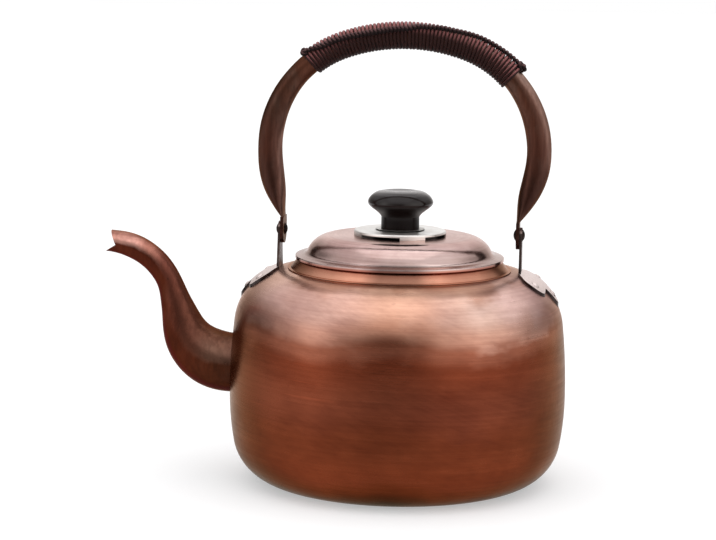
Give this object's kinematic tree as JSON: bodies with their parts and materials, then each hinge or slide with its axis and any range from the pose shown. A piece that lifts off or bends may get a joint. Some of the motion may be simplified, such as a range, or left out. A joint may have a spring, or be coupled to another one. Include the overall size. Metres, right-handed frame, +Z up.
{
  "type": "whistling kettle",
  "caption": "Stovetop kettle with a swan neck spout, a folding bail with a cord wound grip, and a lift off lid whose knob stands over a steam whistle.",
  "frame": {"origin": "middle of the flat base, on the surface it stands on", "axes": "+Z up, spout to -X, front to -Y, bail pivots along X"},
  "size_m": [0.2771, 0.2, 0.2734],
  "materials": {
    "copper_body": "satin, brushed and aged",
    "copper_band": "satin",
    "copper_lid": "satin, brushed",
    "copper_dark": "aged, semi gloss",
    "ear_sheet": "satin",
    "rivet_dark": "dull",
    "hat_steel": "polished",
    "plain_brass": "machined",
    "screw_steel": "plated",
    "washer_black": "matt",
    "knob_black": "moulded, semi gloss",
    "cord_maroon": "twisted cord"
  },
  "bodies": {
    "vessel": {"body_shell": "copper_body", "neck_collar": "copper_band", "spout": "copper_dark", "left_ear": "ear_sheet", "right_ear": "ear_sheet", "left_ear_rivets": "rivet_dark", "right_ear_rivets": "rivet_dark", "left_pivot_rivet": "rivet_dark", "right_pivot_rivet": "rivet_dark"},
    "bail": {"bail_tube": "copper_dark", "grip_cord": "cord_maroon"},
    "lid": {"lid_shell": "copper_lid", "lid_skirt": "copper_lid", "steam_hat": "hat_steel", "whistle_cup": "plain_brass", "whistle_lower_plate": "plain_brass", "whistle_upper_plate": "plain_brass", "knob_screw": "screw_steel", "knob_washer": "washer_black", "knob": "knob_black", "knob_insert": "plain_brass"}
  },
  "joints": [
    {"name": "bail_hinge", "type": "hinge", "parent": "vessel", "child": "bail", "pos_m": [0, 0, 0.1493], "axis": [1, 0, 0], "range_deg": [-95, 95]},
    {"name": "lid_lift", "type": "slide", "parent": "vessel", "child": "lid", "axis": [0, 0, 1], "range_m": [0, 0.06]}
  ]
}
